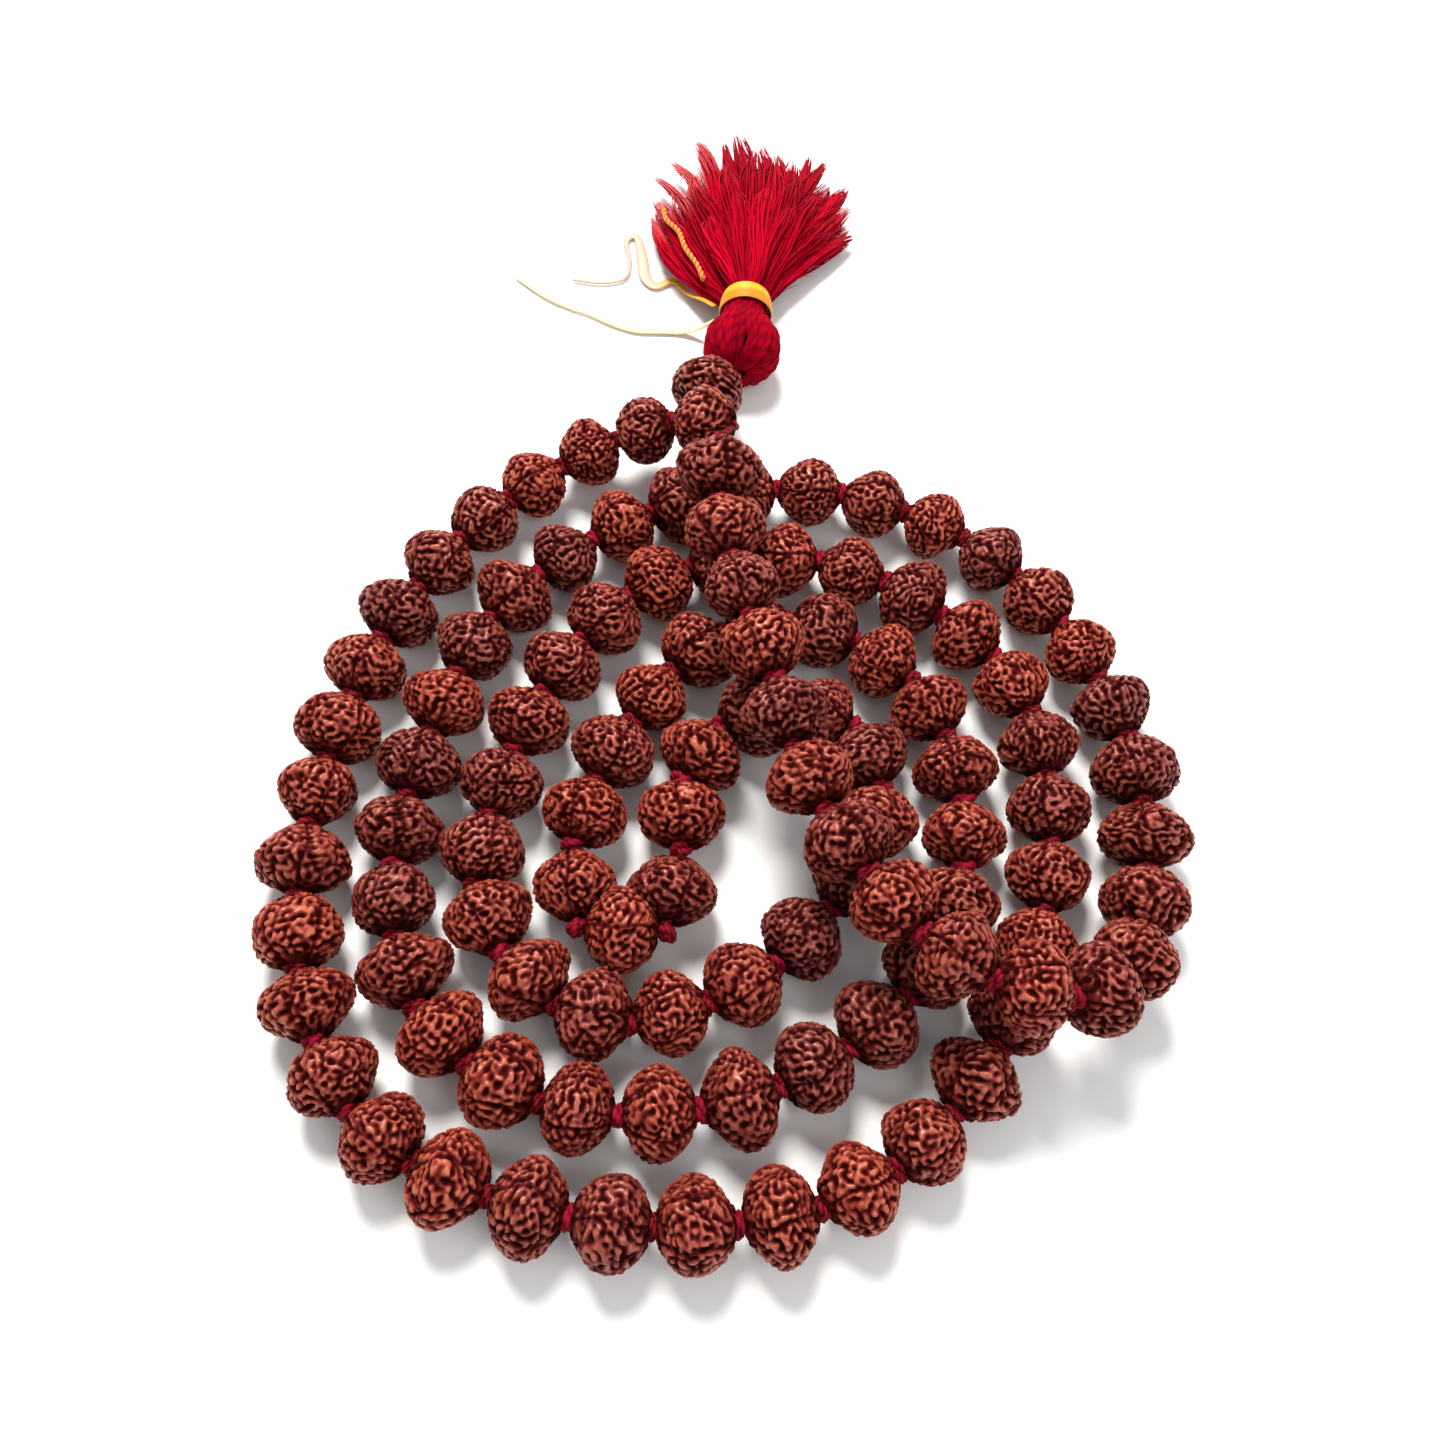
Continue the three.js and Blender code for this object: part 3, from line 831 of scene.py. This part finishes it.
def head_mesh():
    """Yarns drawn from the band over the ball to its foot, parted at one small slit."""
    rng = np.random.default_rng(33)
    polar = np.linspace(0.60, math.pi - 0.16, 70)
    parts = []
    for k in range(HEAD_YARNS):
        around = 2 * math.pi * (k + 0.5) / HEAD_YARNS
        away = around - math.pi / 2
        parting = 0.10 * math.copysign(1, away) * math.exp(-(away / 0.35) ** 2)
        turn = around + parting * np.exp(-((polar - SLIT_AT) / 0.26) ** 2)
        turn = turn + 0.05 * np.sin(3 * polar + rng.uniform(0, 6)) + 0.25 * smoothstep(1.9, 3.0, polar)
        r = HEAD_R - HEAD_YARN_R * rng.uniform(0.95, 1.25)
        r = r * (1 + 0.015 * np.sin(4 * polar + rng.uniform(0, 6)))
        r = r * (1 - 0.06 * smoothstep(2.2, 2.9, polar))
        path = HEAD_CENTRE + np.stack([
            r * np.sin(polar) * np.cos(turn), HEAD_HALF * r / HEAD_R * np.cos(polar),
            r * np.sin(polar) * np.sin(turn),
        ], -1)
        neck = path[0] + np.linspace(2.6, 0.15, 8)[:, None] * [0, MM, 0]
        path = np.vstack([neck, path])
        size = HEAD_YARN_R * (0.45 + 0.55 * np.sin(polar) ** 0.6)
        size = np.concatenate([np.full(len(neck), size[0]), size])
        verts, faces, depth = rope(path, size, 10, lay=3.4 * MM, groove=0.16, phase=rng.uniform(0, 6))
        # Painted shade between the plies, with a random tone for each yarn.
        parts.append((verts, faces, 0.22 + 0.38 * depth + rng.uniform(-0.12, 0.12)))
    core, core_faces = head_core()
    # The core's relief is zero, the darkest crimson: painted shade between the yarns and in the slit.
    verts, faces, relief = joined(parts + [(core, core_faces, np.zeros(len(core)))])
    mesh = new_mesh("head", verts, faces)
    float_attribute(mesh, "relief", relief)
    return mesh


def head_core():
    """The inside of the head, and the neck of yarn that the band is wound on, both in the darkest crimson
    as painted shade seen between the yarns.
    """
    polar = np.linspace(0.001, math.pi - 0.001, 40)
    y = HEAD_CENTRE[1] + CORE_SHARE * HEAD_HALF * np.cos(polar)
    r = CORE_SHARE * HEAD_R * np.sin(polar)
    y = np.concatenate([[NECK[1] + 1.3 * MM, NECK[1] + 1.2 * MM, NECK[1] - 2 * MM], y[5:]])
    r = np.concatenate([[1e-6, NECK_R, NECK_R], r[5:]])
    sides = 40
    angle = np.arange(sides) * 2 * math.pi / sides
    verts = np.stack([
        HEAD_CENTRE[0] + r[:, None] * np.cos(angle), y[:, None] + 0 * angle,
        HEAD_CENTRE[2] + r[:, None] * np.sin(angle),
    ], -1)
    return verts.reshape(-1, 3), grid_faces(len(y), sides)


def band_mesh():
    """Fine silk wound round and round the neck, with painted shade where one turn lies against the next."""
    steps, sides = 60, 8
    turns = np.linspace(0, WRAP_TURNS, WRAP_TURNS * steps)
    place = turns / WRAP_TURNS - 0.5
    r = WRAP_R - (0.16 * (2 * place) ** 2 + 0.45 * place) * MM
    around = 2 * math.pi * turns
    path = np.stack([
        NECK[0] + r * np.cos(around), NECK[1] + place * WRAP_LONG, NECK[2] + r * np.sin(around),
    ], -1)
    verts, faces, _ = rope(path, SILK_R, sides, lay=9 * MM, groove=0.05)
    rng = np.random.default_rng(8)
    shine = 0.85 + 0.12 * rng.normal(size=WRAP_TURNS).repeat(steps)
    shine, r = (np.pad(np.repeat(values, sides), sides, mode="edge") for values in (shine, r))
    away = np.hypot(verts[:, 0] - NECK[0], verts[:, 2] - NECK[2])
    mesh = new_mesh("band", verts, faces)
    # Painted shade on the inner side of each turn, where it lies against the neck and the next turn.
    float_attribute(mesh, "relief", shine - 0.7 * (1 - np.clip((away - r) / SILK_R, 0, 1)))
    return mesh


def add_tassel(crimson_yarn, silk, gilt):
    head = new_piece("head", head_mesh(), crimson_yarn, "tassel")
    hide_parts("tassel_head")
    band = new_piece("band", band_mesh(), silk, "tassel")
    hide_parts("silk_wrap")
    share = len(LOCKS) // len(LAYERS)
    for k, name in enumerate(LAYERS):
        mesh = skirt_mesh(name, LOCKS[k * share:(k + 1) * share], 21 + k)
        layer = new_piece(name, mesh, crimson_yarn, "skirt")
        if k == 0:
            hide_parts("tassel_skirt")
    mesh = rope_mesh("silk_end", [resample(SILK_END, SILK_STEP)], SILK_END_R, sides=12, lay=1.8 * MM)
    new_piece("silk_end", mesh, gilt, "skirt")


def yarn_material():
    """Soft crimson wool, paler and pinker towards the tips of the locks on the left."""
    material = fibre_material("crimson_yarn", (0.035, 0.000, 0.003), (0.24, 0.000, 0.009),
                              (0.50, 0.001, 0.018), 0.9, 0.0, 1800, 0.30, 0.03)
    tint(material, "blush", "GEOMETRY", 0.6, (0.72, 0.16, 0.17))
    return material


# ---------------------------------------------------------------- loose ends

YELLOW_TAIL = [
    [-5, 68, 4.6], [-6.6, 70.4, 3.2], [-8.8, 73.2, 1.4], [-11, 76.2, 0.5], [-13.2, 75.2, 0.4],
    [-14.6, 76.6, 0.4], [-15.3, 80, 0.4], [-16.6, 84.4, 0.4], [-17.7, 83.6, 0.4], [-17, 79.4, 0.4],
    [-17.4, 76.4, 0.4], [-20.2, 75.3, 0.4], [-24.4, 75.6, 0.4],
]
CREAM_TAIL = [
    [-5, 66.6, 3.4], [-6.9, 66.9, 1.6], [-9.2, 67.2, 0.5], [-12, 67.2, 0.4], [-15.2, 67.1, 0.4],
    [-18.4, 68, 0.4], [-21.4, 69.4, 0.4], [-24.4, 70.6, 0.4], [-27.8, 72.4, 0.4], [-32, 75.6, 0.4],
]

# Half widths, spaced evenly along each end
YELLOW_HALF = np.array([0.3, 0.3, 0.32, 0.55, 0.8, 0.75, 0.5, 0.3, 0.25, 0.22, 0.2]) * MM
CREAM_HALF = np.array([0.25, 0.5, 0.55, 0.5, 0.35, 0.25, 0.38, 0.35, 0.3]) * MM


def ribbon_mesh(name, path, widths, thick):
    """A flat tape along a path: widths are its half widths, spaced evenly from one end to the other."""
    sides = 12
    at = np.linspace(0, 1, len(path))
    half = np.interp(at, np.linspace(0, 1, len(widths)), widths)
    tangent = np.gradient(path, axis=0)
    tangent /= np.linalg.norm(tangent, axis=1)[:, None]
    side = np.cross(tangent, [0, 0, 1.0])
    side /= np.linalg.norm(side, axis=1)[:, None]
    up = np.cross(side, tangent)
    angle = np.arange(sides) * 2 * math.pi / sides
    verts = path[:, None] + (half[:, None] * np.cos(angle))[..., None] * side[:, None]
    verts = verts + (thick * np.sin(angle))[None, :, None] * up[:, None]
    verts, faces = capped(verts.reshape(-1, 3), sides)
    mesh = new_mesh(name, verts, faces)
    rng = np.random.default_rng(5)
    float_attribute(mesh, "relief", 0.75 + 0.1 * rng.normal(size=len(verts)))
    return mesh


def fading_material(silk):
    """The yellow silk, washed out to a dull pink beyond the skirt."""
    material = silk.copy()
    material.name = "fading_silk"
    tint(material, "pale", "GEOMETRY", 1.0, (0.50, 0.34, 0.25))
    return material


def add_loose_ends(fading_silk, cream):
    path = resample(in_frame(YELLOW_TAIL), SILK_STEP)
    mesh = ribbon_mesh("yellow_end", path, YELLOW_HALF, 0.16 * MM)
    float_attribute(mesh, "pale", smoothstep(0.27, 0.38, np.linspace(0, 1, len(mesh.vertices))))
    yellow = new_piece("yellow_end", mesh, fading_silk, "tassel")
    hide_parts("yellow_tail")
    path = resample(in_frame(CREAM_TAIL), SILK_STEP)
    mesh = ribbon_mesh("cream_end", path, CREAM_HALF, 0.14 * MM)
    loose = new_piece("cream_end", mesh, cream, "tassel")
    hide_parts("cream_tail")


knots = knot_points()
add_camera()
silk = fibre_material("yellow_silk", (0.16, 0.040, 0.001), (0.62, 0.22, 0.002), (0.92, 0.44, 0.008),
                      0.4, 0.0, 2500, 0.25, 0.4)
gilt = fibre_material("gilt_silk", (0.18, 0.010, 0.003), (0.50, 0.09, 0.020), (0.74, 0.30, 0.040),
                      0.5, 0.0, 2500, 0.30, 0.2)
cream = fibre_material("cream_thread", (0.36, 0.28, 0.15), (0.58, 0.48, 0.30), (0.70, 0.61, 0.41), 0.7, 0.0)
add_loose_ends(fading_material(silk), cream)
add_studio()
add_floor()
crimson = thread_material()
add_seeds(knots, seed_material())
add_knots(knots, crimson)
add_threads(knots, crimson)
add_tassel(yarn_material(), silk, gilt)
